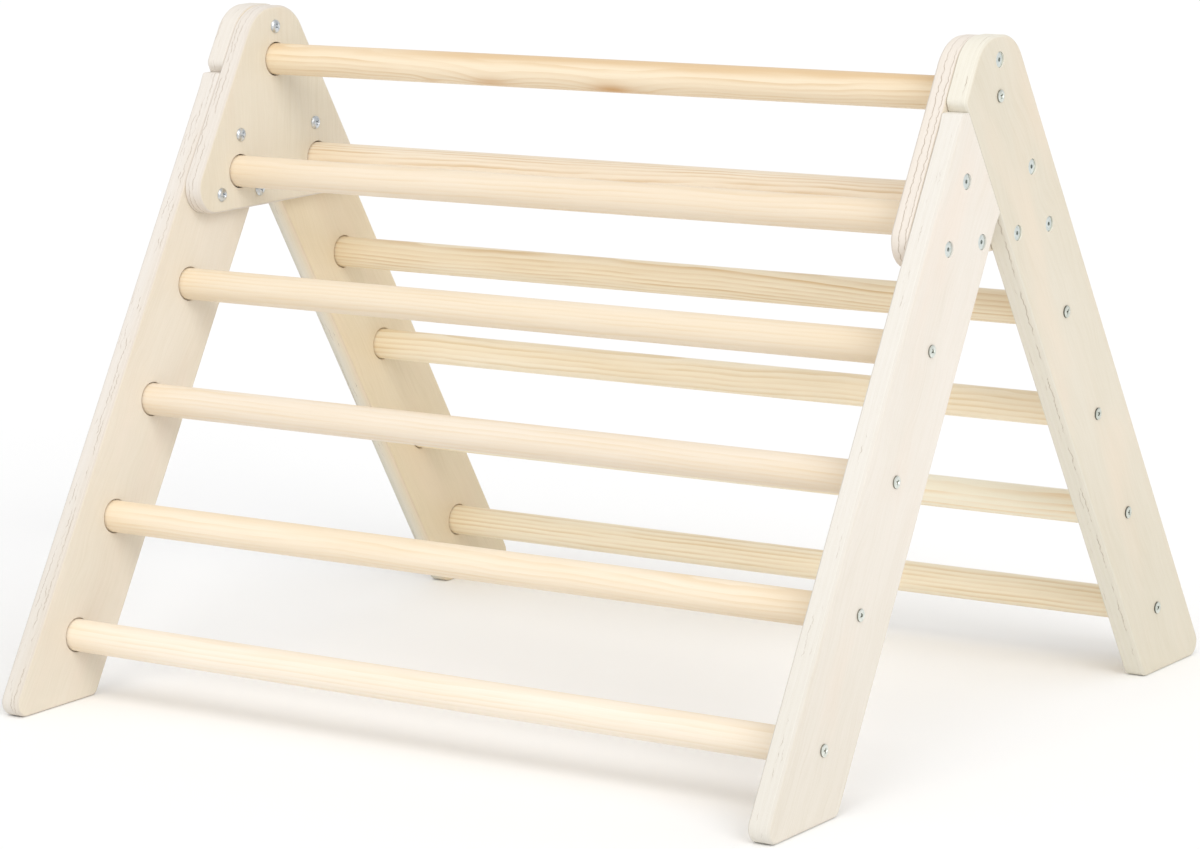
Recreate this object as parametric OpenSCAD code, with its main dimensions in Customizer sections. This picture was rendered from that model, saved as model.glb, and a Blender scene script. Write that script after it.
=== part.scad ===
// Climbing triangle: two end frames of plywood joined by round pine rungs.
// Each end frame is a rear leg that runs up into the rounded head at the apex,
// a front leg whose bevelled end butts against it, and a triangular gusset
// plate bolted over the two.
// X runs along the rungs, -Y is the front ladder, Z is up, and the origin is
// on the floor under the top rung. Right is +X, seen from the front.

/* [Frame] */
// Overall width across the outer faces of the two end frames
frame_w = 833; // [600:1:1200]
// Height of the top rung's centre above the floor
top_h = 571.5; // [570:0.5:620]
// Slope of each ladder, in degrees from the floor
slope = 59.7; // [58:0.1:61]
// Distance from rung to rung along a ladder
pitch = 118; // [114:0.5:119]

/* [Boards] */
// Thickness of the plywood in the legs
leg_t = 21; // [18:0.5:24]
// Thickness of the plywood in the gusset plates
gusset_t = 18; // [15:0.5:21]
// Width of a leg
leg_w = 101; // [96:1:106]
// Distance from the top rung's centre down to the front leg's squared-off tip
tip_drop = 9; // [6:0.5:12]
// Gap between the front leg and the rear leg where they butt
butt_gap = 0.4; // [0.3:0.1:1.5]
// Distance from the upper rungs' centres down to the gusset plate's lower edge
gusset_drop = 36.5; // [32:0.5:42]
// Height of the head's top above the top rung's centre
head_rise = 52; // [50:0.5:56]
// Radius of the head's two upper corners
head_r = 39; // [30:1:45]
// Height of the gusset plate's top above the top rung's centre
gusset_rise = 51; // [49:0.5:54]
// Radius of the gusset plate's two upper corners
gusset_r = 42; // [30:1:45]
// Radius of the gusset plate's two lower corners
gusset_low_r = 25; // [15:1:30]
// Radius of the rear leg's front corner, level with the top rung
nose_r = 8; // [4:0.5:12]
// Corner radius of the front leg's tip
tip_r = 2; // [1:0.5:3]
// Radius of the acute outer corner of a foot
toe_r = 13; // [8:1:18]
// Radius of the blunt inner corner of a foot
heel_r = 9; // [4:1:12]

/* [Rungs] */
// Diameter of a rung
rung_d = 30; // [28:0.5:32]
// Chamfer at a rung's ends
rung_chamfer = 1; // [0.5:0.5:2]
// Depth of the blind socket that a rung's end sits in
socket_depth = 10; // [8:0.5:12]
// Radial clearance of the socket round the rung's end
socket_gap = 0.1; // [0.05:0.05:0.3]
// Diameter of the wider mouth of a socket and of the gusset plate's holes
mouth_d = 32.4; // [32.1:0.1:34]
// Depth of the wider mouth
mouth_depth = 3; // [1:0.5:5]

/* [Gusset bolts] */
// Distance of the three bolts from the upper rung that they surround
bolt_ring_r = 34.7; // [32:0.1:36]
// Height of the apex bolt above the top rung's centre
apex_bolt_h = 31.2; // [29:0.1:33]
// Diameter of the bolt's shank
bolt_d = 6; // [5:0.5:6]
// Length of the bolt under its head
bolt_len = 31; // [28:1:33]
// Diameter of the bolt's domed head
bolt_head_d = 13; // [10:0.5:14]
// Height of the bolt's domed head
bolt_head_h = 3.2; // [2.8:0.1:4]
// Diameter of the sleeve nut's barrel
sleeve_d = 8.5; // [8:0.5:10]
// Length of the sleeve nut's barrel under its flange
sleeve_len = 16; // [14:1:17]
// Diameter of the sleeve nut's flange
flange_d = 13.6; // [12:0.1:13.6]
// Thickness of the sleeve nut's flange
flange_t = 1.6; // [1.2:0.1:2]
// Diameter of the counterbore that the flange is sunk in
counterbore_d = 14; // [13.8:0.1:15]
// Depth of that counterbore
counterbore_depth = 2.6; // [2.5:0.1:4]
// Width across the flats of the hexagon socket in the sleeve nut
hex_af = 3.5; // [3:0.5:4]

/* [Rung screws] */
// Diameter of the wood screw's shank
screw_d = 5; // [4:0.5:6]
// Length of the wood screw under its head
screw_len = 60; // [40:5:70]
// Diameter of the screw's pan head
screw_head_d = 11; // [9:0.5:12]
// Height of the pan head above the outer face of the leg
screw_head_h = 1.9; // [1.5:0.1:2.6]

/* [Hidden] */
$fn = 64;
ca = cos(slope);
sa = sin(slope);
hw = leg_w / 2;
head_z = top_h + head_rise;         // flat top of the head
plate_z = top_h + gusset_rise;      // flat top of the gusset plate
tip_z = top_h - tip_drop;           // flat tip of the front leg
xo = frame_w / 2;                   // outer face of the end frame
xl = xo - leg_t;                    // face where leg and gusset plate meet
xg = xl - gusset_t;                 // inner face of the gusset plate
rung_len = 2 * (xl + socket_depth);
gap = 0.05;                         // radial gap round shanks and barrels
screw_reach = screw_len - (leg_t - socket_depth);
barrel_len = min(sleeve_len, leg_t - counterbore_depth - 0.5);
shank_len = min(bolt_len, leg_t + gusset_t - counterbore_depth - 3.5);
ring_angle = [86, 214, 324];        // the three bolts, seen round a front rung
n_low = 4;                          // screwed rungs on each ladder

ply_face = [0.93, 0.87, 0.76];
ply_plate = [0.90, 0.83, 0.70];
pine = [0.96, 0.87, 0.72];
zinc = [0.76, 0.79, 0.81];

// Rung centres in the plane of an end frame, as [y, z]. k = 0 is the top rung.
function front_at(k) = [-k * pitch * ca, top_h - k * pitch * sa];
function rear_at(k) = [k * pitch * ca, top_h - k * pitch * sa];

// y of a line parallel to a ladder at height z. off is the distance outwards
// from the line through the rungs' centres.
function front_y(z, off) = (ca * (z - top_h) - off) / sa;
function rear_y(z, off) = -front_y(z, off);

// Bolt centres.
function front_bolts() =
    [for (a = ring_angle) front_at(1) + bolt_ring_r * [cos(a), sin(a)]];
function rear_bolts() =
    concat([for (b = front_bolts()) [-b[0], b[1]]], [[0, top_h + apex_bolt_h]]);

// Screwed rungs.
function front_screws() = [for (k = [2 : n_low + 1]) front_at(k)];
function rear_screws() = [for (k = [2 : n_low + 1]) rear_at(k)];

// A polygon's corners rounded with arcs: c is a list of [point, radius].
function unit(v) = v / norm(v);
function arc_at(p, a, b, r, n = 10) =
    let (u = unit(a - p), v = unit(b - p),
         half = acos(u * v) / 2,
         m = p + unit(u + v) * r / sin(half),
         s = p + u * r / tan(half) - m,
         e = p + v * r / tan(half) - m,
         a0 = atan2(s[1], s[0]),
         d0 = atan2(e[1], e[0]) - a0,
         d = d0 > 180 ? d0 - 360 : d0 < -180 ? d0 + 360 : d0)
    [for (i = [0 : n]) m + r * [cos(a0 + d * i / n), sin(a0 + d * i / n)]];
function rounded(c) =
    [for (i = [0 : len(c) - 1])
        let (p = c[i][0], r = c[i][1],
             a = c[(i + len(c) - 1) % len(c)][0], b = c[(i + 1) % len(c)][0])
        each (r > 0 ? arc_at(p, a, b, r) : [p])];

// The largest corner radius, up to r, that leaves a flat top at that height.
function top_r(rise, r) =
    min(r, 0.98 * (hw - ca * rise) / sa * tan(90 - slope / 2));

// Outlines in the plane of the end frame.
function rear_leg_outline() = rounded([
    [[rear_y(0, -hw), 0], heel_r],
    [[rear_y(0, hw), 0], toe_r],
    [[rear_y(head_z, hw), head_z], top_r(head_rise, head_r)],
    [[front_y(head_z, hw), head_z], top_r(head_rise, head_r)],
    [[-hw / sa, top_h], nose_r]]);
butt_z = top_h - (hw + butt_gap / 2) / ca;
function front_leg_outline() = rounded([
    [[front_y(0, hw), 0], toe_r],
    [[front_y(0, -hw), 0], heel_r],
    [[-butt_gap / 2 / sa, butt_z], 0],
    [[rear_y(tip_z, -hw - butt_gap), tip_z], 0],
    [[front_y(tip_z, hw), tip_z], tip_r]]);
gusset_z = front_at(1)[1] - gusset_drop;
function gusset_outline() = rounded([
    [[front_y(gusset_z, hw), gusset_z], gusset_low_r],
    [[rear_y(gusset_z, hw), gusset_z], gusset_low_r],
    [[rear_y(plate_z, hw), plate_z], top_r(gusset_rise, gusset_r)],
    [[front_y(plate_z, hw), plate_z], top_r(gusset_rise, gusset_r)]]);

// Puts a shape drawn in [y, z] and raised along its own Z at x = x0.
module across(x0) { translate([x0, 0, 0]) rotate([90, 0, 90]) children(); }

// A board with its inner face at height 0 and its outer face at height t.
module board(outline, t) { linear_extrude(t) polygon(outline); }

module left() { mirror([1, 0, 0]) children(); }

// Cuts.
module socket(at, mouth) {
    translate([at[0], at[1], -1])
        cylinder(d = rung_d + 2 * socket_gap, h = socket_depth + 1);
    if (mouth)
        translate([at[0], at[1], -1]) cylinder(d = mouth_d, h = mouth_depth + 1);
}
module screw_hole(at) {
    translate([at[0], at[1], -1]) cylinder(d = screw_d + 2 * gap, h = leg_t + 2);
}
module sleeve_hole(at) {
    translate([at[0], at[1], -1]) cylinder(d = sleeve_d + 2 * gap, h = leg_t + 2);
    translate([at[0], at[1], leg_t - counterbore_depth])
        cylinder(d = counterbore_d, h = counterbore_depth + 1);
}

// Boards of the right-hand end frame.
module rear_leg() {
    color(ply_face) across(xl) difference() {
        board(rear_leg_outline(), leg_t);
        socket(rear_at(0), false);
        socket(rear_at(1), false);
        for (p = rear_screws()) socket(p, true);
        for (p = concat([rear_at(0)], rear_screws())) screw_hole(p);
        for (p = rear_bolts()) sleeve_hole(p);
    }
}
module front_leg() {
    color(ply_face) across(xl) difference() {
        board(front_leg_outline(), leg_t);
        socket(front_at(1), false);
        for (p = front_screws()) socket(p, true);
        for (p = front_screws()) screw_hole(p);
        for (p = front_bolts()) sleeve_hole(p);
    }
}
module gusset_plate() {
    color(ply_plate) across(xg) difference() {
        board(gusset_outline(), gusset_t);
        for (p = [front_at(0), front_at(1), rear_at(1)])
            translate([p[0], p[1], -1]) cylinder(d = mouth_d, h = gusset_t + 2);
        for (p = concat(front_bolts(), rear_bolts()))
            translate([p[0], p[1], -1])
                cylinder(d = bolt_d + 2 * gap, h = gusset_t + 2);
    }
}

// A rung: a dowel with chamfered ends, and a pilot hole in each end if screwed.
module rung(at, screwed) {
    r = rung_d / 2;
    c = rung_chamfer;
    h = rung_len / 2;
    color(pine) translate([0, at[0], at[1]]) rotate([0, 90, 0]) difference() {
        rotate_extrude()
            polygon([[0, -h], [r - c, -h], [r, -h + c],
                     [r, h - c], [r - c, h], [0, h]]);
        if (screwed)
            for (s = [-1, 1])
                translate([0, 0, s > 0 ? h - screw_reach - 1 : -h - 1])
                    cylinder(d = screw_d + 2 * gap, h = screw_reach + 2);
    }
}

// Domed cross-recess bolt, its head on the plate's inner face at height 0 and
// its shank along +Z.
module bolt() {
    r = bolt_head_d / 2;
    k = bolt_head_h;
    difference() {
        rotate_extrude()
            polygon(concat(
                [[0, shank_len], [bolt_d / 2 - 0.8, shank_len],
                 [bolt_d / 2, shank_len - 0.8], [bolt_d / 2, 0], [r, 0],
                 [r, -0.8]],
                [for (a = [10 : 10 : 80])
                    [r * cos(a), -0.8 - (k - 0.8) * sin(a)]],
                [[0, -k]]));
        for (a = [45, 135]) rotate([0, 0, a])
            translate([-2.6, -0.6, -k - 1]) cube([5.2, 1.2, 1 + 2]);
    }
}

// Sleeve nut: flange with a hexagon socket, and a barrel threaded from inside.
// Its flange lies on the floor of the counterbore, and its barrel along -Z.
module sleeve_nut() {
    difference() {
        union() {
            cylinder(d = flange_d, h = flange_t);
            translate([0, 0, -barrel_len])
                cylinder(d = sleeve_d, h = barrel_len + flange_t / 2);
        }
        translate([0, 0, flange_t - 2.6])
            cylinder(d = hex_af / cos(30), h = 4, $fn = 6);
        translate([0, 0, -barrel_len - 1])
            cylinder(d = bolt_d + 2 * gap, h = barrel_len - 2);
    }
}

// Pan-head wood screw, its head standing on height 0 and its shank along -Z.
module wood_screw() {
    r = screw_head_d / 2;
    k = screw_head_h;
    difference() {
        rotate_extrude()
            polygon(concat(
                [[0, -screw_len], [0.4, -screw_len], [screw_d / 2, -screw_len + 5],
                 [screw_d / 2, 0], [r, 0], [r, k - 0.7]],
                [for (a = [15 : 15 : 75])
                    [r * cos(a), k - 0.7 + 0.7 * sin(a)]],
                [[0, k]]));
        for (a = [45, 135]) rotate([0, 0, a])
            translate([-2.4, -0.6, k - 1.5]) cube([4.8, 1.2, 3]);
    }
}

module bolts(list) {
    color(zinc) across(xg) for (p = list) translate([p[0], p[1], 0]) bolt();
}
module sleeve_nuts(list) {
    color(zinc) across(xl) for (p = list)
        translate([p[0], p[1], leg_t - counterbore_depth]) sleeve_nut();
}
module screws(list) {
    color(zinc) across(xl) for (p = list)
        translate([p[0], p[1], leg_t]) wood_screw();
}

// One module per piece or group of identical fasteners.
module left_rear_leg() { left() rear_leg(); }
module right_rear_leg() { rear_leg(); }
module left_front_leg() { left() front_leg(); }
module right_front_leg() { front_leg(); }
module left_gusset_plate() { left() gusset_plate(); }
module right_gusset_plate() { gusset_plate(); }
module top_rung() { rung(front_at(0), true); }
module front_rung_1() { rung(front_at(1), false); }
module front_rung_2() { rung(front_at(2), true); }
module front_rung_3() { rung(front_at(3), true); }
module front_rung_4() { rung(front_at(4), true); }
module front_rung_5() { rung(front_at(5), true); }
module rear_rung_1() { rung(rear_at(1), false); }
module rear_rung_2() { rung(rear_at(2), true); }
module rear_rung_3() { rung(rear_at(3), true); }
module rear_rung_4() { rung(rear_at(4), true); }
module rear_rung_5() { rung(rear_at(5), true); }
module left_front_bolts() { left() bolts(front_bolts()); }
module left_rear_bolts() { left() bolts(rear_bolts()); }
module right_front_bolts() { bolts(front_bolts()); }
module right_rear_bolts() { bolts(rear_bolts()); }
module left_front_sleeve_nuts() { left() sleeve_nuts(front_bolts()); }
module left_rear_sleeve_nuts() { left() sleeve_nuts(rear_bolts()); }
module right_front_sleeve_nuts() { sleeve_nuts(front_bolts()); }
module right_rear_sleeve_nuts() { sleeve_nuts(rear_bolts()); }
module left_front_rung_screws() { left() screws(front_screws()); }
module left_rear_rung_screws() { left() screws(rear_screws()); }
module right_front_rung_screws() { screws(front_screws()); }
module right_rear_rung_screws() { screws(rear_screws()); }
module left_top_rung_screw() { left() screws([rear_at(0)]); }
module right_top_rung_screw() { screws([rear_at(0)]); }

left_rear_leg();
right_rear_leg();
left_front_leg();
right_front_leg();
left_gusset_plate();
right_gusset_plate();
top_rung();
front_rung_1();
front_rung_2();
front_rung_3();
front_rung_4();
front_rung_5();
rear_rung_1();
rear_rung_2();
rear_rung_3();
rear_rung_4();
rear_rung_5();
left_front_bolts();
left_rear_bolts();
right_front_bolts();
right_rear_bolts();
left_front_sleeve_nuts();
left_rear_sleeve_nuts();
right_front_sleeve_nuts();
right_rear_sleeve_nuts();
left_front_rung_screws();
left_rear_rung_screws();
right_front_rung_screws();
right_rear_rung_screws();
left_top_rung_screw();
right_top_rung_screw();
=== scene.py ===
import math

import bmesh
import bpy
from mathutils import Matrix, Vector
from mathutils.geometry import delaunay_2d_cdt


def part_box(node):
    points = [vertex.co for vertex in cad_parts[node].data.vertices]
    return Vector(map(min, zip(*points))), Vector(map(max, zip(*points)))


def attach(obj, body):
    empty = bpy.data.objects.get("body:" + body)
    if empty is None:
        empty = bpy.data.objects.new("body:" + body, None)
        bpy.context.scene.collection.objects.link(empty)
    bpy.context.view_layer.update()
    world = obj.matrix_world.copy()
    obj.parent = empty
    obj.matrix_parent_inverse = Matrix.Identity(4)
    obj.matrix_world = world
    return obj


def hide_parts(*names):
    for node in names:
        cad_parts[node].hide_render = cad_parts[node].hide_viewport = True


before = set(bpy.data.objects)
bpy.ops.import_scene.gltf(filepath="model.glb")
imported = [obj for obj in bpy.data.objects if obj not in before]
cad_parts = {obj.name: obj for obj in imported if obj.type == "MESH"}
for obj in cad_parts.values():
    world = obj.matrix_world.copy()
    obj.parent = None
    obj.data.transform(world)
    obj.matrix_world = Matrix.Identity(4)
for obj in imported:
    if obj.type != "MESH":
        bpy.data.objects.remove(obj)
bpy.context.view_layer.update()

# ---------------------------------------------------------------- dimensions
# Millimetres in this block. Faces of the boards come from the CAD nodes.
MM = 0.001
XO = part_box("right_rear_leg")[1].x / MM          # outer face of the end frame
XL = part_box("right_rear_leg")[0].x / MM          # leg meets gusset plate
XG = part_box("right_gusset_plate")[0].x / MM      # inner face of gusset plate
RUNG_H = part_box("top_rung")[1].x / MM            # half length of a rung
LEG_T, PLATE_T = XO - XL, XL - XG
H, PITCH, HW = 571.5, 118.0, 50.5
SLOPE = math.radians(59.7)
CA, SA = math.cos(SLOPE), math.sin(SLOPE)
HEAD_Z, PLATE_Z, TIP_Z = H + 52.0, H + 51.0, H - 9.0
BUTT_GAP = 0.4
ROUND = 3.0                                      # rounded-over board edges
SOCKET = 10.0


def front_at(k):
    return (-k * PITCH * CA, H - k * PITCH * SA)


def rear_at(k):
    return (k * PITCH * CA, H - k * PITCH * SA)


def front_y(z, off):
    return (CA * (z - H) - off) / SA


def rear_y(z, off):
    return -front_y(z, off)


PLATE_LOW = front_at(1)[1] - 36.5
FRONT_BOLTS = [
    (front_at(1)[0] + 34.7 * math.cos(math.radians(a)),
     front_at(1)[1] + 34.7 * math.sin(math.radians(a)))
    for a in (86, 214, 324)
]
REAR_BOLTS = [(-y, z) for y, z in FRONT_BOLTS] + [(0.0, H + 31.2)]
FRONT_SCREWS = [front_at(k) for k in (2, 3, 4, 5)]
REAR_SCREWS = [rear_at(k) for k in (2, 3, 4, 5)]


# ------------------------------------------------------------------ outlines
def corner(p, a, b, r, n):
    p, a, b = Vector(p), Vector(a), Vector(b)
    u, v = (a - p).normalized(), (b - p).normalized()
    half = u.angle(v) / 2
    m = p + (u + v).normalized() * (r / math.sin(half))
    s = p + u * (r / math.tan(half)) - m
    e = p + v * (r / math.tan(half)) - m
    a0 = math.atan2(s.y, s.x)
    d = math.atan2(e.y, e.x) - a0
    if d > math.pi:
        d -= 2 * math.pi
    if d < -math.pi:
        d += 2 * math.pi
    return [
        (m.x + r * math.cos(a0 + d * i / n), m.y + r * math.sin(a0 + d * i / n))
        for i in range(n + 1)
    ]


def outline(corners, eased):
    """Closed outline of [(y, z), corner radius] with arcs, long straight runs
    cut every 12 mm. eased(y, z) gives the edge roundover there. Returns
    [(y, z, roundover)], anticlockwise."""
    pts = []
    for i, (p, r) in enumerate(corners):
        a, b = corners[i - 1][0], corners[(i + 1) % len(corners)][0]
        pts += corner(p, a, b, r, max(10, int(r * 0.8))) if r > 0 else [p]
    area = sum(
        pts[i - 1][0] * pts[i][1] - pts[i][0] * pts[i - 1][1] for i in range(len(pts))
    )
    if area < 0:
        pts.reverse()
    out = []
    for i, p in enumerate(pts):
        q = pts[(i + 1) % len(pts)]
        n = max(1, int(math.dist(p, q) / 12.0))
        for j in range(n):
            out.append((p[0] + (q[0] - p[0]) * j / n, p[1] + (q[1] - p[1]) * j / n))
    return [(y, z, eased(y, z)) for y, z in out]


def smooth(a, b, x):
    t = min(1.0, max(0.0, (x - a) / (b - a)))
    return t * t * (3 - 2 * t)


BUTT_Z = H - (HW + BUTT_GAP / 2) / CA


def rear_ease(y, z):
    """Full roundover except along the butt line, where the edge is only eased."""
    off = abs((y - rear_y(z, -HW)) * SA)          # distance from the inner edge line
    along = smooth(BUTT_Z - 14, BUTT_Z + 2, z) * (1 - smooth(TIP_Z - 1.0, TIP_Z + 2.0, z))
    near = 1 - smooth(0.5, 3.0, off)
    return ROUND - (ROUND - 0.5) * along * near


def front_ease(y, z):
    """Full roundover except at the bevelled end that butts the rear leg."""
    off = abs((y - rear_y(z, -HW - BUTT_GAP)) * SA)
    tip = smooth(TIP_Z - 6.0, TIP_Z - 1.2, z)
    full = ROUND - 1.6 * tip
    near = 1 - smooth(1.0, 9.0 - 5.0 * tip, off)
    return full - (full - 0.5) * near


REAR_OUTLINE = outline([
    ((rear_y(0, -HW), 0), 9),
    ((rear_y(0, HW), 0), 13),
    ((rear_y(HEAD_Z, HW), HEAD_Z), 39),
    ((front_y(HEAD_Z, HW), HEAD_Z), 39),
    ((-HW / SA, H), 8)], rear_ease)
FRONT_OUTLINE = outline([
    ((front_y(0, HW), 0), 13),
    ((front_y(0, -HW), 0), 9),
    ((-BUTT_GAP / 2 / SA, BUTT_Z), 0),
    ((rear_y(TIP_Z, -HW - BUTT_GAP), TIP_Z), 0),
    ((front_y(TIP_Z, HW), TIP_Z), 2)], front_ease)
PLATE_OUTLINE = outline([
    ((front_y(PLATE_LOW, HW), PLATE_LOW), 25),
    ((rear_y(PLATE_LOW, HW), PLATE_LOW), 25),
    ((rear_y(PLATE_Z, HW), PLATE_Z), 42),
    ((front_y(PLATE_Z, HW), PLATE_Z), 42)], lambda y, z: ROUND)


# -------------------------------------------------------------------- meshes
def make_object(name, verts, faces, material, mirror=False, sharp=32.0):
    """A mesh object from points in millimetres. mirror gives the left-hand one."""
    s = -MM if mirror else MM
    me = bpy.data.meshes.new(name)
    me.from_pydata(
        [(x * s, y * MM, z * MM) for x, y, z in verts],
        [],
        [tuple(reversed(f)) for f in faces] if mirror else faces,
    )
    me.validate()
    me.update()
    me.shade_smooth()
    me.set_sharp_from_angle(angle=math.radians(sharp))
    me.materials.append(material)
    o = bpy.data.objects.new(name, me)
    bpy.context.scene.collection.objects.link(o)
    return o


def board_mesh(line, x_in, x_out, holes, outer=1.0, inner=1.0):
    """Board between x_in and x_out with rounded edges and turned holes. Each
    hole is (y, z, sides, profile): profile runs from the outer face inwards as
    (depth below the outer face, radius), and may end at radius 0. outer and
    inner scale the roundover of the outline on the two faces."""
    t = x_out - x_in
    n = len(line)
    verts, faces = [], []
    norm = []
    for i in range(n):
        a, p, b = (Vector(line[(i + k) % n][:2]) for k in (-1, 0, 1))
        e, f = (p - a).normalized(), (b - p).normalized()
        n1, n2 = Vector((e.y, -e.x)), Vector((f.y, -f.x))
        m = (n1 + n2).normalized()
        norm.append(m / max(0.35, m.dot(n1)))
    steps = []                                    # (inset share, inset plus, depth share, depth plus)
    steps.append((1.0, 0.3, 0.0, 0.0))
    for k in range(7):
        a = math.radians(90 - 15 * k)
        steps.append((1 - math.cos(a), 0.0, 1 - math.sin(a), 0.0))
    steps.append((0.0, 0.0, 1.0, 0.3))
    rings = []
    for side in (0, 1):
        seq = steps if side == 0 else list(reversed(steps))
        for si, sp, di, dp in seq:
            ring = []
            for i in range(n):
                y, z, r = line[i]
                r *= outer if side == 0 else inner
                inset, depth = si * r + sp, di * r + dp
                x = x_out - depth if side == 0 else x_in + depth
                ring.append(len(verts))
                verts.append((x, y - norm[i].x * inset, z - norm[i].y * inset))
            rings.append(ring)
    for a, b in zip(rings, rings[1:]):
        for i in range(n):
            j = (i + 1) % n
            faces.append((a[i], b[i], b[j], a[j]))
    caps = {0: [], 1: []}                         # hole rims on each face
    for y, z, sides, profile in holes:
        prev = None
        for depth, r in profile:
            if r <= 0:
                ring = [len(verts)]
                verts.append((x_out - depth, y, z))
            else:
                ring = []
                for i in range(sides):
                    a = 2 * math.pi * i / sides
                    ring.append(len(verts))
                    verts.append((x_out - depth, y + r * math.cos(a), z + r * math.sin(a)))
            if prev is not None:
                for i in range(sides):
                    j = (i + 1) % sides
                    if len(ring) == 1:
                        faces.append((prev[i], prev[j], ring[0]))
                    elif len(prev) == 1:
                        faces.append((prev[0], ring[j], ring[i]))
                    else:
                        faces.append((prev[i], prev[j], ring[j], ring[i]))
            prev = ring
            if depth == 0:
                caps[0].append((ring, y, z, r))
            elif abs(depth - t) < 1e-6:
                caps[1].append((ring, y, z, r))
    for side, border in ((0, rings[0]), (1, rings[-1])):
        ids = list(border)
        edges = [(i, (i + 1) % n) for i in range(n)]
        for ring, _, _, _ in caps[side]:
            s = len(ids)
            ids += ring
            edges += [(s + i, s + (i + 1) % len(ring)) for i in range(len(ring))]
        co = [Vector((verts[i][1], verts[i][2])) for i in ids]
        out_v, _, out_f, orig_v, _, _ = delaunay_2d_cdt(co, edges, [], 1, 1e-5)
        back = [ids[o[0]] for o in orig_v]
        for f in out_f:
            cy = sum(out_v[i].x for i in f) / 3
            cz = sum(out_v[i].y for i in f) / 3
            if any(math.hypot(cy - y, cz - z) < r * 0.999 for _, y, z, r in caps[side]):
                continue
            (y0, z0), (y1, z1), (y2, z2) = (tuple(out_v[i]) for i in f)
            up = (y1 - y0) * (z2 - z0) - (y2 - y0) * (z1 - z0) > 0
            tri = [back[i] for i in f]
            if up != (side == 0):
                tri.reverse()
            faces.append(tuple(tri))
    return verts, faces


def revolve(profile, sides, centre=(0.0, 0.0), turn=0.0):
    """Solid turned about a line along X through centre (y, z). profile is
    (x, radius) from one end on the axis to the other, towards +X."""
    verts, faces, prev = [], [], None
    for x, r in profile:
        if r <= 0:
            ring = [len(verts)]
            verts.append((x, centre[0], centre[1]))
        else:
            ring = []
            for i in range(sides):
                a = 2 * math.pi * i / sides + turn
                ring.append(len(verts))
                verts.append((x, centre[0] + r * math.cos(a), centre[1] + r * math.sin(a)))
        if prev is not None:
            for i in range(sides):
                j = (i + 1) % sides
                if len(prev) == 1 and len(ring) == 1:
                    break
                if len(ring) == 1:
                    faces.append((prev[i], prev[j], ring[0]))
                elif len(prev) == 1:
                    faces.append((prev[0], ring[j], ring[i]))
                else:
                    faces.append((prev[i], prev[j], ring[j], ring[i]))
        prev = ring
    return verts, faces


def cut(body, tool):
    """body minus tool, both (verts, faces), as (verts, faces)."""
    obs = []
    for k, (v, f) in enumerate((body, tool)):
        me = bpy.data.meshes.new(f"cut{k}")
        me.from_pydata(v, [], f)
        bm = bmesh.new()
        bm.from_mesh(me)
        bmesh.ops.recalc_face_normals(bm, faces=bm.faces)
        bm.to_mesh(me)
        bm.free()
        o = bpy.data.objects.new(f"cut{k}", me)
        bpy.context.scene.collection.objects.link(o)
        obs.append(o)
    mod = obs[0].modifiers.new("cut", "BOOLEAN")
    mod.operation, mod.solver, mod.object = "DIFFERENCE", "EXACT", obs[1]
    bpy.context.view_layer.update()
    dg = bpy.context.evaluated_depsgraph_get()
    me = bpy.data.meshes.new_from_object(obs[0].evaluated_get(dg))
    bm = bmesh.new()
    bm.from_mesh(me)
    bmesh.ops.remove_doubles(bm, verts=bm.verts, dist=1e-4)
    bmesh.ops.dissolve_degenerate(bm, edges=bm.edges, dist=1e-4)
    bmesh.ops.recalc_face_normals(bm, faces=bm.faces)
    bm.to_mesh(me)
    bm.free()
    out = (
        [tuple(v.co) for v in me.vertices],
        [tuple(p.vertices) for p in me.polygons],
    )
    for o in obs:
        m = o.data
        bpy.data.objects.remove(o)
        bpy.data.meshes.remove(m)
    bpy.data.meshes.remove(me)
    return out


def cross_tool(top, deep, levels):
    """Cutter for a cross recess about the X axis. levels are (x, half span of
    the wings, half width of a wing), from outside to the bottom."""
    verts, faces, prev = [], [], None
    for x, span, w in levels:
        pts = []
        for q in range(4):
            c, s = math.cos(q * math.pi / 2), math.sin(q * math.pi / 2)
            for a, b in ((span, -w), (span, w), (w, w)):
                pts.append((x, a * c - b * s, a * s + b * c))
        ring = list(range(len(verts), len(verts) + 12))
        verts += pts
        if prev is None:
            faces.append(tuple(reversed(ring)))
        else:
            for i in range(12):
                j = (i + 1) % 12
                faces.append((prev[i], prev[j], ring[j], ring[i]))
        prev = ring
    faces.append(tuple(prev))
    return verts, faces


def hex_tool(x0, x1, af):
    r = af / 2 / math.cos(math.pi / 6)
    return revolve([(x0, 0), (x0, r), (x1, r), (x1 + (0.8 if x1 > x0 else -0.8), 0)], 6)


def placed(parts):
    """Joins copies of meshes: parts are ((verts, faces), x, y, z, turn)."""
    verts, faces = [], []
    for (v, f), x, y, z, turn in parts:
        c, s, n = math.cos(turn), math.sin(turn), len(verts)
        verts += [(x + p[0], y + p[1] * c - p[2] * s, z + p[1] * s + p[2] * c) for p in v]
        faces += [tuple(i + n for i in g) for g in f]
    return verts, faces


# ----------------------------------------------------------------- materials
def lin(r, g, b):
    """A display colour, 0 to 255, as linear RGBA."""
    out = []
    for c in (r, g, b):
        c /= 255
        out.append(c / 12.92 if c <= 0.04045 else ((c + 0.055) / 1.055) ** 2.4)
    return (*out, 1.0)


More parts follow.
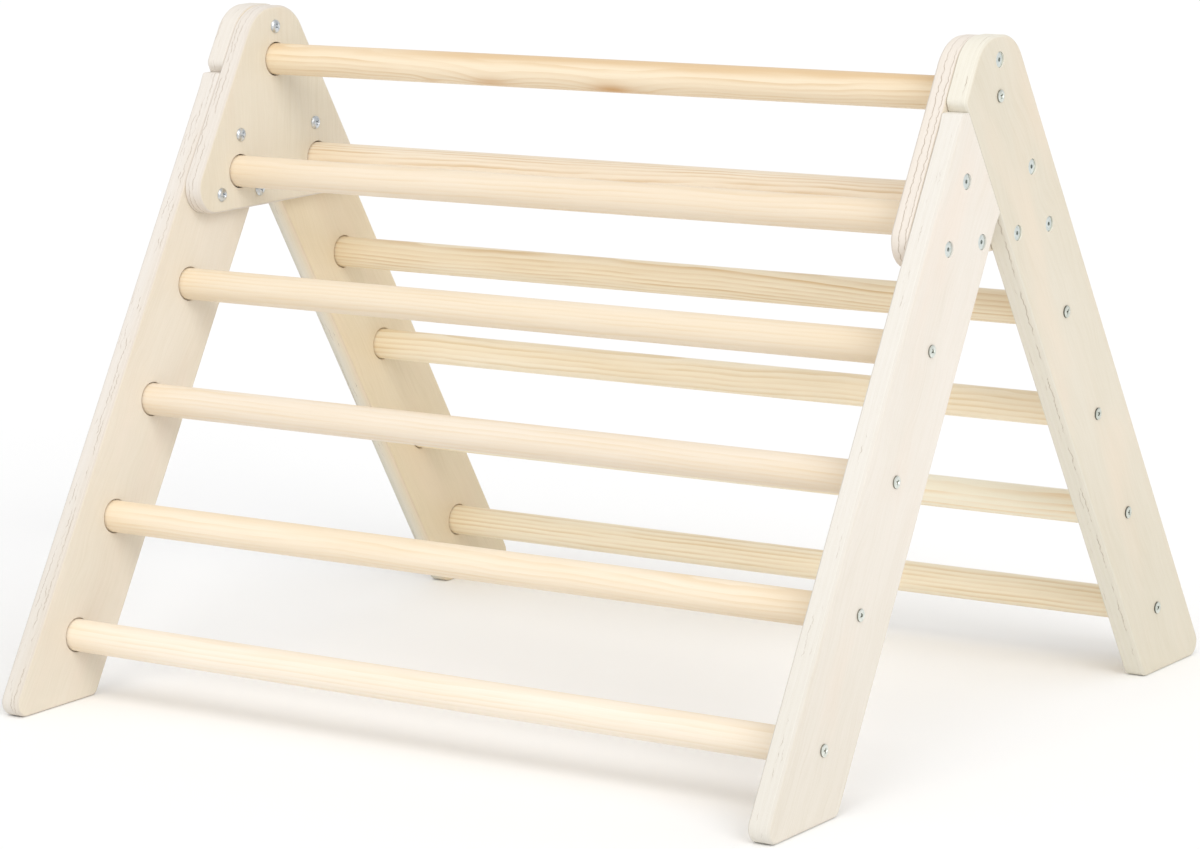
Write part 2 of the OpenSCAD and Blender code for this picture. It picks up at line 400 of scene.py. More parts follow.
class Tree:
    """Short forms for building a material's nodes."""

    def __init__(self, name):
        self.m = bpy.data.materials.new(name)
        self.m.use_nodes = True
        self.t = self.m.node_tree
        self.t.nodes.clear()
        self.out = self.new("ShaderNodeOutputMaterial")
        self.p = self.new("ShaderNodeBsdfPrincipled")
        self.link(self.p.outputs["BSDF"], self.out.inputs["Surface"])
        tc = self.new("ShaderNodeTexCoord")
        sep = self.new("ShaderNodeSeparateXYZ")
        self.link(tc.outputs["Object"], sep.inputs[0])
        # Millimetres from here on.
        self.x, self.y, self.z = (self.mul(sep.outputs[i], 1000.0) for i in range(3))

    def new(self, kind):
        return self.t.nodes.new(kind)

    def link(self, a, b):
        self.t.links.new(a, b)

    def put(self, sock, v):
        if isinstance(v, bpy.types.NodeSocket):
            self.link(v, sock)
        else:
            sock.default_value = v

    def math(self, op, a, b=0.0, c=0.0, clamp=False):
        n = self.new("ShaderNodeMath")
        n.operation, n.use_clamp = op, clamp
        for s, v in zip(n.inputs, (a, b, c)):
            self.put(s, v)
        return n.outputs[0]

    def add(self, a, b): return self.math("ADD", a, b)
    def sub(self, a, b): return self.math("SUBTRACT", a, b)
    def mul(self, a, b): return self.math("MULTIPLY", a, b)
    def mad(self, a, b, c): return self.math("MULTIPLY_ADD", a, b, c)

    def xyz(self, a, b, c):
        n = self.new("ShaderNodeCombineXYZ")
        for s, v in zip(n.inputs, (a, b, c)):
            self.put(s, v)
        return n.outputs[0]

    def noise(self, a, b, c, detail=2.0, rough=0.5, dist=0.0):
        """Noise around 0.5 at the point (a, b, c)."""
        n = self.new("ShaderNodeTexNoise")
        n.noise_dimensions = "3D"
        self.link(self.xyz(a, b, c), n.inputs["Vector"])
        n.inputs["Scale"].default_value = 1.0
        n.inputs["Detail"].default_value = detail
        n.inputs["Roughness"].default_value = rough
        n.inputs["Distortion"].default_value = dist
        return n.outputs["Fac"]

    def step(self, lo, hi, v, to0=0.0, to1=1.0, kind="SMOOTHSTEP"):
        n = self.new("ShaderNodeMapRange")
        n.interpolation_type, n.clamp = kind, True
        for k, val in (("Value", v), ("From Min", lo), ("From Max", hi), ("To Min", to0), ("To Max", to1)):
            self.put(n.inputs[k], val)
        return n.outputs["Result"]

    def mix(self, f, a, b, kind="MIX"):
        n = self.new("ShaderNodeMix")
        n.data_type, n.blend_type = "RGBA", kind
        self.put(n.inputs["Factor"], f)
        self.put(n.inputs["A"] if False else n.inputs[6], a)
        self.put(n.inputs[7], b)
        return n.outputs[2]

    def ramp(self, f, stops):
        n = self.new("ShaderNodeValToRGB")
        e = n.color_ramp.elements
        e[0].position, e[0].color = stops[0]
        e[1].position, e[1].color = stops[-1]
        for p, c in stops[1:-1]:
            k = e.new(p)
            k.color = c
        self.put(n.inputs["Fac"], f)
        return n.outputs["Color"]

    def bump(self, height, metres, strength=1.0, normal=None):
        n = self.new("ShaderNodeBump")
        n.inputs["Strength"].default_value = strength
        n.inputs["Distance"].default_value = metres
        self.link(height, n.inputs["Height"])
        if normal is not None:
            self.link(normal, n.inputs["Normal"])
        return n.outputs["Normal"]


def near_to(c, d):
    """The display colour c, lighter or darker by about d, warmer as it darkens."""
    return lin(c[0] + d, c[1] + d * 1.15, c[2] + d * 1.55)


def plywood(name, x_in, x_out, along, seed, face_c, outer_c, edge_c, lines, tints=(), plies=7):
    """Pale birch-faced plywood between x_in and x_out (millimetres, signed).
    along is the face grain's direction in (y, z). face_c and outer_c are the
    veneers' colours at x_in and x_out. lines are the dark seams that show on
    the edges: (millimetres from x_in, strength, how unbroken, how wavy). tints are
    how the edge's colour changes through the board below the apex, partly the
    plies' own colours and partly painted shade towards the faces:
    (millimetres from x_in, red, green and blue against edge_c)."""
    n = Tree(name)
    s = float(seed) * 37.7
    dy, dz = along
    u = n.mad(n.y, dy, n.mul(n.z, dz))
    v = n.mad(n.y, -dz, n.mul(n.z, dy))
    t = abs(x_out - x_in)
    sign = 1.0 if x_out > x_in else -1.0
    w = n.mul(n.sub(n.x, x_in), sign)

    # Face veneer: slow flame figure, streaks, fibres and short pores.
    slow = n.noise(n.mul(u, 0.0035), n.mul(v, 0.016), s, 2, 0.5)
    sway = n.noise(n.mul(u, 0.010), n.mul(v, 0.018), s + 5, 2, 0.5)
    vw = n.mad(n.sub(sway, 0.5), 26.0, v)
    flame = n.noise(n.mul(u, 0.006), n.mul(vw, 0.14), s + 9, 3, 0.55)
    band = n.math("PINGPONG", n.mad(flame, 5.0, n.mul(vw, 0.022)), 0.5)
    band = n.mul(band, 2.0)
    streak = n.noise(n.mul(u, 0.016), n.mul(vw, 0.62), s + 13, 3, 0.6)
    fibre = n.noise(n.mul(u, 0.10), n.mul(v, 3.4), s + 17, 2, 0.6)
    pore = n.step(0.66, 0.74, n.noise(n.mul(u, 0.42), n.mul(v, 5.2), s + 21, 1, 0.5))
    tone = n.mad(n.sub(slow, 0.5), 0.60, 0.5)
    tone = n.mad(n.sub(band, 0.5), 0.11, tone)
    tone = n.mad(n.sub(streak, 0.5), 0.33, tone)
    tone = n.mad(n.sub(fibre, 0.5), 0.18, tone)
    face = n.ramp(tone, [
        (0.18, near_to(face_c, -13)),
        (0.42, near_to(face_c, -4)),
        (0.60, near_to(face_c, 0)),
        (0.85, near_to(face_c, 4))])
    ratio = tuple(b / a for a, b in zip(lin(*face_c)[:3], lin(*outer_c)[:3])) + (1.0,)
    face = n.mix(n.step(t * 0.4, t * 0.6, w), face, n.mix(1.0, face, ratio, "MULTIPLY"))
    rosy = n.step(0.45, 0.75, n.noise(n.mul(u, 0.006), n.mul(v, 0.02), s + 31, 2, 0.5))
    face = n.mix(n.mul(rosy, 0.40), face, lin(face_c[0] + 1, face_c[1] - 5, face_c[2] - 4))
    face = n.mix(n.mul(pore, 0.16), face, lin(196, 168, 130))

    # Edges: thin plies, of which every other one shows end grain, and the
    # dark wavy seams.
    pitch = t / plies
    grit = n.noise(n.mul(n.y, 0.9), n.mul(n.z, 0.9), n.mul(n.x, 1.6), 3, 0.7)
    long_g = n.noise(n.mul(n.y, 0.06), n.mul(n.z, 0.06), n.mul(n.x, 3.0), 2, 0.6)
    wob = n.noise(n.mul(n.y, 0.020), n.mul(n.z, 0.020), s + 41, 2, 0.5)
    ww = n.mad(n.sub(wob, 0.5), 2.4, w)
    q = n.math("DIVIDE", ww, pitch)
    parity = n.math("PINGPONG", n.math("FLOOR", q), 1.0)
    et = n.mad(n.sub(grit, 0.5), n.mad(parity, 0.26, 0.10), 0.60)
    et = n.mad(n.sub(long_g, 0.5), 0.30, et)
    et = n.sub(et, n.mul(parity, 0.045))
    edge = n.ramp(et, [
        (0.20, near_to(edge_c, -15)),
        (0.45, near_to(edge_c, -4)),
        (0.70, near_to(edge_c, 4))])
    seam = n.sub(1.0, n.step(0.04, 0.30, n.mul(n.math("ABSOLUTE", n.sub(q, n.math("ROUND", q))), pitch)))
    some = n.step(0.45, 0.62, n.noise(n.mul(n.y, 0.035), n.mul(n.z, 0.035), n.mad(n.math("ROUND", q), 7.3, s + 47), 2, 0.6))
    glue = n.mul(seam, n.mad(some, 0.08, 0.01))
    inside = n.mul(n.step(1.6, 3.4, w, 0.0, 1.0), n.step(t - 3.4, t - 1.6, w, 1.0, 0.0))
    glue = n.mul(glue, inside)
    for k, (at, strength, whole, wavy) in enumerate(lines):
        bend = n.noise(n.mul(n.y, 0.14), n.mul(n.z, 0.14), s + 61 + 9 * k, 2, 0.55)
        drift = n.noise(n.mul(n.y, 0.022), n.mul(n.z, 0.022), s + 64 + 9 * k, 1, 0.5)
        jag = n.noise(n.mul(n.y, 0.42), n.mul(n.z, 0.42), s + 62 + 9 * k, 1, 0.5)
        off = n.mad(n.sub(bend, 0.5), 4.6 * wavy, n.mad(n.sub(drift, 0.5), 2.6 * wavy, n.sub(w, at)))
        off = n.mad(n.sub(jag, 0.5), 0.9 * wavy, off)
        off = n.math("ABSOLUTE", n.mad(n.sub(wob, 0.5), 1.2, off))
        life = n.noise(n.mul(n.y, 0.026), n.mul(n.z, 0.026), s + 67 + 9 * k, 3, 0.62)
        lo = 0.56 - 0.30 * whole
        life = n.step(lo, lo + 0.10, life)
        nick = n.noise(n.mul(n.y, 0.30), n.mul(n.z, 0.30), s + 70 + 9 * k, 2, 0.6)
        life = n.mul(life, n.step(0.32, 0.52, nick, 0.30 + 0.4 * whole, 1.0))
        width = n.mad(life, 0.42, 0.26)
        dark = n.sub(1.0, n.step(n.mul(width, 0.15), width, off))
        dark = n.mul(dark, n.step(596.0, 618.0, n.z, strength, strength * 0.45))
        glue = n.math("MAXIMUM", glue, n.mul(dark, n.mad(life, 0.92, 0.08)))
    # Partly the plies' own colours, partly painted shade towards the faces; it fades out between 490 and 540 mm up.
    if tints:
        through = n.ramp(n.math("DIVIDE", ww, t), [
            (at / t, (r ** 2.2, g ** 2.2, b ** 2.2, 1.0)) for at, r, g, b in tints])
        edge = n.mix(n.step(490.0, 540.0, n.z, 1.0, 0.0), edge, through, "MULTIPLY")
    glue_c = n.mix(n.noise(n.mul(n.y, 0.05), n.mul(n.z, 0.05), s + 61, 1, 0.5),
                   lin(160, 141, 120), lin(186, 171, 154))
    edge = n.mix(glue, edge, glue_c)

    g = n.new("ShaderNodeNewGeometry")
    sep = n.new("ShaderNodeSeparateXYZ")
    n.link(g.outputs["True Normal"], sep.inputs[0])
    flat = n.step(0.80, 0.97, n.math("ABSOLUTE", sep.outputs[0]))
    nx = n.math("ABSOLUTE", sep.outputs[0])
    # Painted shade: the rounded-over edges between face and edge are darkened, damping the highlight they catch from
    # both suns.
    arris_shade = n.mul(n.step(0.12, 0.45, nx), n.step(0.80, 0.985, nx, 1.0, 0.0))
    wood = n.mix(flat, edge, face)
    wood = n.mix(arris_shade, wood, (0.89, 0.88, 0.865, 1.0), "MULTIPLY")
    # Painted shade: towards the feet the boards are darker, where less light reaches them.
    foot_shade = n.step(20.0, 330.0, n.z, 1.0, 0.0)
    n.link(n.mix(foot_shade, wood, (0.945, 0.945, 0.93, 1.0), "MULTIPLY"), n.p.inputs["Base Color"])

    rough_f = n.mad(n.sub(streak, 0.5), 0.16, n.mad(pore, 0.10, 0.46))
    rough_e = n.mad(n.sub(grit, 0.5), 0.25, n.mad(glue, 0.20, 0.58))
    rough = n.add(n.mul(rough_f, flat), n.mul(rough_e, n.sub(1.0, flat)))
    n.link(rough, n.p.inputs["Roughness"])
    n.p.inputs["Specular IOR Level"].default_value = 0.35
    h_f = n.sub(n.mad(fibre, 0.5, n.mul(streak, 0.35)), n.mul(pore, 0.9))
    h_e = n.sub(n.mad(grit, 0.7, n.mul(long_g, 0.4)), n.mul(glue, 1.4))
    h = n.add(n.mul(h_f, flat), n.mul(h_e, n.sub(1.0, flat)))
    n.link(n.bump(h, 0.00012, 0.5), n.p.inputs["Normal"])
    return n.m


def pine(name, centre, pith, spacing, contrast, seed, early_c, late_c, sway, knots=(), flank=None):
    """Turned pine along X about centre (y, z). pith is the tree's middle from
    the rung's axis, spacing the growth rings', all in millimetres. sway is how
    far the grain wanders along the rung. knots are (x, y, z, size, stretch along
    the rung, strength). flank is a darker streak's middle and strength: (y, z,
    half width, strength), fading out towards the left end."""
    n = Tree(name)
    s = float(seed) * 23.3
    ly, lz = n.sub(n.y, centre[0]), n.sub(n.z, centre[1])
    drift = n.noise(n.mul(n.x, 0.0028), s, 1.0, 2, 0.5)
    drift2 = n.noise(n.mul(n.x, 0.014), n.mul(ly, 0.03), n.mad(lz, 0.03, s), 2, 0.5)
    ry = n.sub(ly, n.mad(n.sub(drift, 0.5), 2.0 * sway, pith[0]))
    rz = n.sub(lz, n.mad(n.sub(drift, 0.5), -1.4 * sway, pith[1]))
    r = n.math("SQRT", n.add(n.mul(ry, ry), n.mul(rz, rz)))
    r = n.mad(n.sub(drift2, 0.5), 0.35 * sway, r)
    r = n.mad(n.x, 0.002 + 0.009 * ((seed * 0.37) % 1.0), r)
    dark = None
    for kx, ky, kz, size, stretch, strength in knots:
        dx = n.math("DIVIDE", n.sub(n.x, kx), size * stretch)
        dyk = n.math("DIVIDE", n.sub(ly, ky), size)
        dzk = n.math("DIVIDE", n.sub(lz, kz), size)
        d2 = n.add(n.mul(dx, dx), n.add(n.mul(dyk, dyk), n.mul(dzk, dzk)))
        pull = n.math("EXPONENT", n.mul(d2, -0.40))
        r = n.mad(pull, size * 1.0, r)
        spot = n.mul(n.math("EXPONENT", n.mul(d2, -1.3)), strength)
        dark = spot if dark is None else n.math("MAXIMUM", dark, spot)
    q = n.math("DIVIDE", r, spacing)
    ring = n.math("FLOOR", q)
    f = n.math("FRACT", q)
    each = n.noise(n.mul(ring, 1.37), n.mul(n.x, 0.0065), s + 3, 2, 0.55)
    late = n.mul(n.step(0.30, 0.90, f), n.step(0.92, 1.0, f, 1.0, 0.0))
    late = n.mul(late, n.step(0.34, 0.68, each, 0.20, 1.0))
    fibre = n.noise(n.mul(n.x, 0.016), n.mul(ly, 1.9), n.mad(lz, 1.9, s), 3, 0.6)
    fine = n.noise(n.mul(n.x, 0.05), n.mul(ly, 5.0), n.mad(lz, 5.0, s), 2, 0.6)
    slow = n.noise(n.mul(n.x, 0.005), n.mul(ly, 0.06), n.mad(lz, 0.06, s + 7), 2, 0.5)
    canal = n.step(0.70, 0.78, n.noise(n.mul(n.x, 0.08), n.mul(ly, 4.2), n.mad(lz, 4.2, s + 11), 1, 0.5))
    tone = n.mad(late, contrast, n.mul(n.sub(fibre, 0.5), 0.44))
    tone = n.mad(n.sub(slow, 0.5), 0.62, tone)
    tone = n.mad(n.sub(fine, 0.5), 0.16, tone)
    tone = n.math("ADD", tone, 0.14, clamp=True)
    col = n.mix(tone, lin(*early_c), lin(*late_c))
    col = n.mix(n.mul(canal, 0.16), col, lin(190, 148, 104))
    if flank is not None:
        fy, fz, width, strength = flank
        wander = n.mad(n.sub(slow, 0.5), 7.0, n.sub(lz, fz))
        gap = n.math("SQRT", n.add(n.math("POWER", n.sub(ly, fy), 2.0), n.math("POWER", wander, 2.0)))
        streak = n.mul(n.step(width * 0.3, width, gap, 1.0, 0.0), n.mad(fibre, 0.6, 0.7))
        streak = n.mul(streak, n.step(-330.0, -120.0, n.x, 0.12, 1.0))
        col = n.mix(n.math("MINIMUM", n.mul(streak, strength), 1.0), col, lin(*late_c))
    if dark is not None:
        col = n.mix(dark, col, lin(202, 150, 86))
    # Painted shade with a warm bounce: the rungs are darker and more tan towards the legs, on the rear rungs only
    # towards the left one.
    where = n.mul(n.x, -1.0) if centre[0] > 1.0 else n.math("ABSOLUTE", n.x)
    end_shade = n.step(250.0, 400.0, where, 0.0, 0.35)
    col = n.mix(end_shade, col, (0.97, 0.925, 0.83, 1.0), "MULTIPLY")
    n.link(col, n.p.inputs["Base Color"])
    n.link(n.mad(n.sub(fibre, 0.5), 0.20, n.mad(late, -0.05, 0.42)), n.p.inputs["Roughness"])
    n.p.inputs["Specular IOR Level"].default_value = 0.42
    h = n.mad(late, 0.6, n.mad(fibre, 0.5, n.mul(fine, 0.3)))
    h = n.sub(h, n.mul(canal, 0.5))
    n.link(n.bump(h, 0.00010, 0.5), n.p.inputs["Normal"])
    return n.m


def zinc(name, tint, seed, painted_flank):
    """Bright zinc plate with slightly cloudy passivation and tool marks. The last
    argument is (distance from the middle of the object, blend, colour): metal closer
    in than that, the head's flank and its recess, takes that colour and is rougher
    than the burnished top. On the screws the colour is dark, painted shade and a
    painted dark reflection; on the nuts it is pale, painted light in the hex socket."""
    n = Tree(name)
    s = float(seed) * 11.9
    cloud = n.noise(n.mad(n.x, 0.25, s), n.mul(n.y, 0.25), n.mul(n.z, 0.25), 3, 0.6)
    fine = n.noise(n.mad(n.x, 4.0, s), n.mul(n.y, 4.0), n.mul(n.z, 4.0), 3, 0.6)
    c = n.mix(n.step(0.35, 0.65, cloud), tint[0], tint[1])
    at, blend, shade = painted_flank
    # The flank and recess take the given colour: painted shade and a painted dark reflection on the screws, painted
    # light on the nuts.
    painted_flank_mask = n.step(at - blend, at, n.math("ABSOLUTE", n.x), 1.0, 0.0)
    c = n.mix(n.mul(painted_flank_mask, n.mad(n.sub(cloud, 0.5), 0.3, 0.88)), c, shade)
    n.link(c, n.p.inputs["Base Color"])
    n.p.inputs["Metallic"].default_value = 1.0
    rough = n.mad(n.sub(fine, 0.5), 0.16, n.mad(n.sub(cloud, 0.5), 0.14, 0.30))
    n.link(n.mad(painted_flank_mask, 0.20, rough), n.p.inputs["Roughness"])
    n.link(n.bump(fine, 0.00003, 0.5), n.p.inputs["Normal"])
    return n.m


# --------------------------------------------------------------------- camera
R0 = (1.7020576883628526, 0.5141580129070495, -0.45398882302058197)
CAM = Vector((2.170089652215651, -3.1413696438693564, 0.962590026468215))
FOCAL = 4196.388519786016                        # pixels, for a 1200-pixel frame
angle = math.sqrt(sum(c * c for c in R0))
rot = Matrix.Rotation(angle, 3, Vector(R0).normalized())
cam_data = bpy.data.cameras.new("camera")
cam_data.sensor_fit = "HORIZONTAL"
cam_data.sensor_width = 36.0
cam_data.lens = FOCAL / 1200 * 36.0
cam_data.clip_start, cam_data.clip_end = 0.05, 200.0
cam = bpy.data.objects.new("camera", cam_data)
basis = Matrix((rot[0], -rot[1], -rot[2])).transposed()
cam.matrix_world = Matrix.Translation(CAM) @ basis.to_4x4()
bpy.context.scene.collection.objects.link(cam)
bpy.context.scene.camera = cam

# --------------------------------------------------------------------- boards
RIM = 0.3


def rung_socket(y, z, screwed, mouth):
    """Profile of a socket cut from the inner face of a leg."""
    t = LEG_T
    if screwed:
        p = [(0, 2.55), (t - SOCKET, 2.55), (t - SOCKET, 15.1)]
    else:
        p = [(t - SOCKET, 0.0), (t - SOCKET, 15.1)]
    if mouth:
        p += [(t - 3.0, 15.1), (t - 3.0, 16.2), (t - RIM, 16.2), (t, 16.2 + RIM)]
    else:
        p += [(t - RIM, 15.1), (t, 15.1 + RIM)]
    return (y, z, 72, p)


def nut_bore(y, z):
    return (y, z, 48, [(0, 7.0 + 0.2), (0.2, 7.0), (2.6, 7.0), (2.6, 4.3), (LEG_T, 4.3)])


REAR_HOLES = [rung_socket(*rear_at(0), True, False), rung_socket(*rear_at(1), False, False)]
REAR_HOLES += [rung_socket(*p, True, True) for p in REAR_SCREWS]
REAR_HOLES += [nut_bore(*p) for p in REAR_BOLTS]
FRONT_HOLES = [rung_socket(*front_at(1), False, False)]
FRONT_HOLES += [rung_socket(*p, True, True) for p in FRONT_SCREWS]
FRONT_HOLES += [nut_bore(*p) for p in FRONT_BOLTS]
PLATE_HOLES = [
    (y, z, 72, [(0, 16.2), (PLATE_T - RIM, 16.2), (PLATE_T, 16.2 + RIM)])
    for y, z in (front_at(0), front_at(1), rear_at(1))
]
PLATE_HOLES += [(y, z, 32, [(0, 3.05), (PLATE_T, 3.05)]) for y, z in FRONT_BOLTS + REAR_BOLTS]

BOARDS = {
    "rear_leg": (board_mesh(REAR_OUTLINE, XL, XO, REAR_HOLES, 1.0, 0.7), XL, XO, (-CA, SA)),
    "front_leg": (board_mesh(FRONT_OUTLINE, XL, XO, FRONT_HOLES, 1.0, 0.8), XL, XO, (CA, SA)),
    "gusset_plate": (board_mesh(PLATE_OUTLINE, XG, XL, PLATE_HOLES, 0.45, 1.0), XG, XL, (0.0, 1.0)),
}
# Inner face, outer face and edge colours, the seams (from the inner face,
# strength, how unbroken, how wavy) and the tints through the edge, partly the
# plies' own colours and partly painted shade.
BOARD_LOOKS = {
    "right_rear_leg": ((232, 220, 198), (221, 213, 196), (232, 227, 213),
                       [(5.0, 0.38, 0.02, 1.1), (11.0, 0.42, 0.02, 1.2), (15.6, 0.80, 0.42, 1.0)]),
    "right_front_leg": ((234, 224, 208), (232, 225, 215), (230, 225, 216),
                        [(7.5, 0.42, 0.06, 1.2), (11.0, 0.55, 0.04, 1.3), (14.5, 0.34, 0.0, 1.2)]),
    "right_gusset_plate": ((232, 221, 202), (232, 222, 206), (231, 222, 211),
                           [(8.4, 0.84, 0.90, 1.1), (15.0, 0.80, 0.85, 1.1)]),
    "left_rear_leg": ((232, 217, 189), (230, 219, 200), (228, 221, 211),
                      [(8.0, 0.85, 0.12, 1.2), (13.0, 0.50, 0.10, 1.2), (17.5, 0.60, 0.25, 1.0)],
                      [(2.0, 1.03, 0.985, 0.905), (5.0, 1.025, 0.998, 0.925), (8.5, 1.015, 1.00, 0.95),
                       (12.0, 1.01, 1.008, 0.972), (15.0, 0.98, 0.985, 0.962), (18.0, 0.95, 0.962, 0.945)]),
    "left_front_leg": ((230, 221, 206), (233, 224, 211), (227, 220, 211),
                       [(5.0, 0.72, 0.32, 1.3), (8.6, 0.78, 0.34, 1.4), (13.2, 0.62, 0.20, 1.3), (16.6, 0.45, 0.05, 1.2)],
                       [(2.5, 0.99, 0.98, 0.968), (6.0, 0.992, 0.985, 0.975), (11.0, 1.0, 1.0, 1.0)]),
    "left_gusset_plate": ((225, 216, 198), (233, 223, 207), (226, 218, 208),
                          [(3.6, 0.30, 0.1, 1.1), (8.8, 0.72, 0.6, 1.4), (14.0, 0.70, 0.5, 1.4)]),
}
made = []
for k, (kind, (mesh, xi, xo, along)) in enumerate(BOARDS.items()):
    for side in ("left", "right"):
        node = f"{side}_{kind}"
        left = side == "left"
        mat = plywood(f"ply_{node}", -xi if left else xi, -xo if left else xo, along, 3 + 2 * k + left, *BOARD_LOOKS[node])
        o = make_object(f"{node}_board", *mesh, mat, mirror=left)
        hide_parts(node)
        made.append(o)

# ---------------------------------------------------------------------- rungs
PILOT = RUNG_H - (60.0 - (LEG_T - SOCKET)) - 1.0   # where the pilot holes end
FRONT_L = (227, 202, 163)
# Centre, pith, ring spacing, contrast, seed, colours, sway, knots and streak.
RUNGS = {
    "top_rung": (front_at(0), (22, -52), 3.9, 0.62, 1, (242, 226, 199), (222, 192, 150), 11,
                 ((-115, -10.5, -10.5, 7.0, 3.8, 0.50), (21, -9.5, -11.5, 7.5, 3.4, 0.85),
                  (50, -8.0, -12.5, 4.0, 5.5, 0.35), (-185, -9, -12, 4.5, 2.6, 0.25)), (-4.0, 16.5, 15.0, 1.0)),
    "front_rung_1": (front_at(1), (-14, 64), 4.2, 0.42, 2, (238, 224, 203), (228, 203, 166), 8, (), None),
    "front_rung_2": (front_at(2), (16, 70), 3.8, 0.42, 3, (238, 224, 202), (228, 204, 166), 9, (), None),
    "front_rung_3": (front_at(3), (-10, -66), 3.9, 0.36, 4, (238, 226, 209), FRONT_L, 7, (), None),
    "front_rung_4": (front_at(4), (12, -60), 4.0, 0.42, 5, (243, 229, 207), (229, 203, 162), 9, (), None),
    "front_rung_5": (front_at(5), (-16, 62), 4.4, 0.40, 6, (246, 235, 219), (232, 211, 177), 7, (), None),
    "rear_rung_1": (rear_at(1), (52, 26), 2.9, 0.85, 7, (254, 242, 222), (229, 201, 162), 7, (), None),
    "rear_rung_2": (rear_at(2), (6, -70), 3.8, 0.82, 8, (247, 235, 209), (220, 189, 141), 6, (), None),
    "rear_rung_3": (rear_at(3), (-8, 62), 5.2, 0.60, 9, (254, 243, 219), (231, 206, 162), 10, (), None),
    "rear_rung_4": (rear_at(4), (14, -62), 5.8, 0.72, 10, (252, 246, 226), (242, 220, 184), 8, (), None),
    "rear_rung_5": (rear_at(5), (8, 66), 4.4, 0.74, 11, (249, 238, 213), (228, 202, 160), 7, (), None),
}
for node, (c, pith, spacing, contrast, seed, early_c, late_c, sway, knots, flank) in RUNGS.items():
    h = RUNG_H
    xs = [-h + 1.0 + (2 * h - 2.0) * i / 40 for i in range(41)]
    body = [(-h, 15.0 - 1.0)] + [(x, 15.0) for x in xs] + [(h, 15.0 - 1.0)]
    if node.endswith("rung_1"):
        prof = [(-h, 0.0)] + body + [(h, 0.0)]
    else:
        prof = [(-PILOT, 0.0), (-PILOT, 2.55), (-h, 2.55)] + body + [(h, 2.55), (PILOT, 2.55), (PILOT, 0.0)]
    mesh = revolve(prof, 96, c)
    mat = pine(f"pine_{node}", c, pith, spacing, contrast, seed, early_c, late_c, sway, knots, flank)
    o = make_object(f"{node}_dowel", *mesh, mat)
    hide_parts(node)
    made.append(o)

# ------------------------------------------------------------------ fasteners
# Each is modelled once about the X axis, its outside towards -X for bolts and
# towards +X for nuts and screws, and copied to its places.
dome = [(-3.2, 0.0), (-3.18, 0.9), (-3.10, 1.9), (-2.94, 2.9), (-2.68, 3.9), (-2.30, 4.8),
        (-1.80, 5.55), (-1.25, 6.1), (-0.75, 6.42), (-0.30, 6.5), (0.0, 6.4)]
BOLT = revolve(dome + [(0.0, 3.0), (30.2, 3.0), (31.0, 2.2), (31.0, 0.0)], 64)
BOLT = cut(BOLT, cross_tool(0, 0, [(-4.2, 3.25, 0.78), (-3.2, 3.05, 0.74), (-1.5, 1.55, 0.55), (-0.9, 0.35, 0.30)]))
NUT = revolve([(-16.0, 0.0), (-16.0, 3.8), (-15.6, 4.25), (0.0, 4.25), (0.0, 6.6), (0.2, 6.8),
               (1.10, 6.8), (1.45, 6.5), (1.6, 5.9), (1.6, 0.0)], 64)
NUT = cut(NUT, revolve([(-17.0, 0.0), (-17.0, 3.05), (-3.0, 3.05), (-2.2, 0.0)], 32))
NUT = cut(NUT, hex_tool(2.6, -1.0, 3.5))
SCREW = revolve([(-60.0, 0.0), (-60.0, 0.4), (-55.0, 2.5), (0.0, 2.5), (0.0, 5.35), (0.12, 5.5),
                 (1.05, 5.5), (1.32, 5.36), (1.52, 5.0), (1.68, 4.3), (1.79, 3.2), (1.85, 2.0),
                 (1.88, 0.9), (1.88, 0.0)], 64)
SCREW = cut(SCREW, cross_tool(0, 0, [(3.0, 2.75, 0.82), (1.9, 2.55, 0.76), (0.3, 1.2, 0.55), (-0.4, 0.3, 0.28)]))

ZINC_B = zinc("zinc_bolt", (lin(190, 195, 199), lin(221, 225, 228)), 1, (XG - 3.6, 0.1, lin(118, 116, 118)))
ZINC_N = zinc("zinc_nut", (lin(206, 214, 211), lin(224, 230, 226)), 2, (XO - 1.2, 0.3, lin(208, 213, 209)))
# The screws on the front and rear legs are lit and shaded copies of one zinc: the rear ones have a darker tint and a
# near-black flank, painted shade.
ZINC_S = {
    "front": zinc("zinc_screw_front", (lin(214, 220, 212), lin(234, 237, 231)), 3, (XO + 1.42, 0.30, lin(128, 126, 114))),
    "rear": zinc("zinc_screw_rear", (lin(198, 204, 194), lin(222, 225, 216)), 4, (XO + 1.42, 0.30, lin(60, 57, 48))),
}


def turn(k):
    return math.radians((k * 137.5 + 20) % 90)


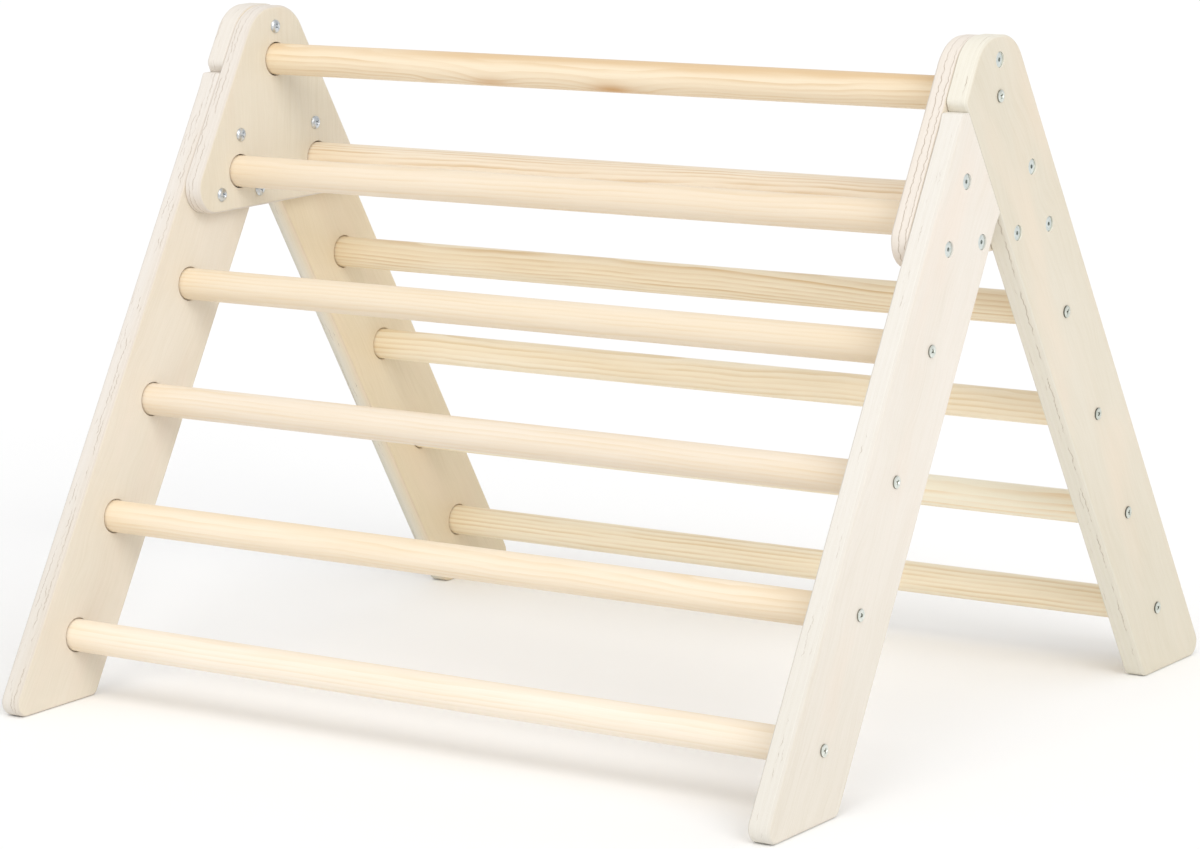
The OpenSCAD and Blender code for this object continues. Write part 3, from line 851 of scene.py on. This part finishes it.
for side in ("left", "right"):
    left = side == "left"
    for face, bolts, screws in (("front", FRONT_BOLTS, FRONT_SCREWS), ("rear", REAR_BOLTS, REAR_SCREWS)):
        k0 = 11 * left + 5 * (face == "rear")
        sets = (
            (f"{side}_{face}_bolts", BOLT, XG, bolts, ZINC_B, "zinc_bolts"),
            (f"{side}_{face}_sleeve_nuts", NUT, XO - 2.6, bolts, ZINC_N, "zinc_sleeve_nuts"),
            (f"{side}_{face}_rung_screws", SCREW, XO, screws, ZINC_S[face], "zinc_screws"),
        )
        for node, mesh, x, places, mat, slot in sets:
            parts = [(mesh, x, y, z, turn(k0 + i)) for i, (y, z) in enumerate(places)]
            o = make_object(f"{node}_set", *placed(parts), mat, mirror=left, sharp=28.0)
            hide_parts(node)
            made.append(o)
    node = f"{side}_top_rung_screw"
    o = make_object(f"{node}_set", *placed([(SCREW, XO, 0.0, H, turn(3 + left))]), ZINC_S["front"], mirror=left, sharp=28.0)
    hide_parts(node)
    made.append(o)

for o in made:
    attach(o, "root")

# ------------------------------------------------------------ floor and light
floor_me = bpy.data.meshes.new("floor")
N = 96
floor_me.from_pydata(
    [(0, 0, 0)] + [(60 * math.cos(2 * math.pi * i / N), 60 * math.sin(2 * math.pi * i / N), 0) for i in range(N)],
    [],
    [(0, 1 + i, 1 + (i + 1) % N) for i in range(N)],
)
floor = bpy.data.objects.new("floor", floor_me)
bpy.context.scene.collection.objects.link(floor)
ft = Tree("floor")
ft.p.inputs["Base Color"].default_value = lin(250, 250, 250)
ft.p.inputs["Roughness"].default_value = 0.9
ft.p.inputs["Specular IOR Level"].default_value = 0.1
floor_me.materials.append(ft.m)

world = bpy.data.worlds.new("studio")
world.use_nodes = True
wt = world.node_tree
bg = wt.nodes["Background"]
tc = wt.nodes.new("ShaderNodeTexCoord")
sp = wt.nodes.new("ShaderNodeSeparateXYZ")
wt.links.new(tc.outputs["Generated"], sp.inputs[0])
rp = wt.nodes.new("ShaderNodeValToRGB")
rp.color_ramp.elements[0].position, rp.color_ramp.elements[0].color = 0.0, (0.95, 0.95, 0.955, 1)
rp.color_ramp.elements[1].position, rp.color_ramp.elements[1].color = 0.55, (1.0, 1.0, 1.0, 1)
wt.links.new(sp.outputs["Z"], rp.inputs["Fac"])
wt.links.new(rp.outputs["Color"], bg.inputs["Color"])
bg.inputs["Strength"].default_value = 0.76
bpy.context.scene.world = world


def sun(name, direction, strength, degrees, colour=(1, 1, 1)):
    """Light that comes from direction."""
    d = bpy.data.lights.new(name, "SUN")
    d.energy, d.angle, d.color = strength, math.radians(degrees), colour
    o = bpy.data.objects.new(name, d)
    o.rotation_mode = "QUATERNION"
    o.rotation_quaternion = Vector(direction).to_track_quat("Z", "Y")
    bpy.context.scene.collection.objects.link(o)
    return o


sun("key", (0.15, -0.62, 0.97), 0.62, 33)
sun("fill", (0.95, -0.55, 0.60), 1.02, 33)

bpy.context.scene.view_settings.view_transform = "Standard"
